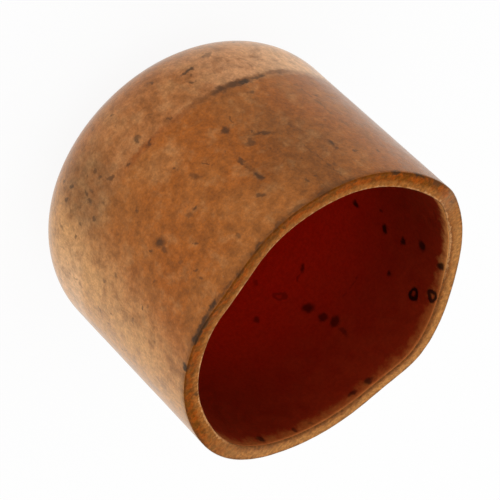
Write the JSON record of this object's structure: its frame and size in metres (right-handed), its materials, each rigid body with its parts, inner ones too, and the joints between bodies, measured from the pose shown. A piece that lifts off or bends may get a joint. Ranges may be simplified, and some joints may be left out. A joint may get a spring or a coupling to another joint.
{
  "type": "tube cap",
  "caption": "Drawn copper cup with a flat closed end, a rounded corner and a straight solder socket, which closes the end of a copper tube.",
  "frame": {"origin": "centre of the closed end's flat outer face, on which the cap stands", "axes": "+Z along the axis from the closed end towards the open mouth; +X and +Y square to it, with the highest crest of the mouth 2 degrees from +X"},
  "size_m": [0.0178, 0.0178, 0.0153],
  "materials": {
    "copper": "aged bare copper, satin, dark red oxide inside"
  },
  "bodies": {
    "root": {"tube_cap": "copper"}
  },
  "joints": []
}
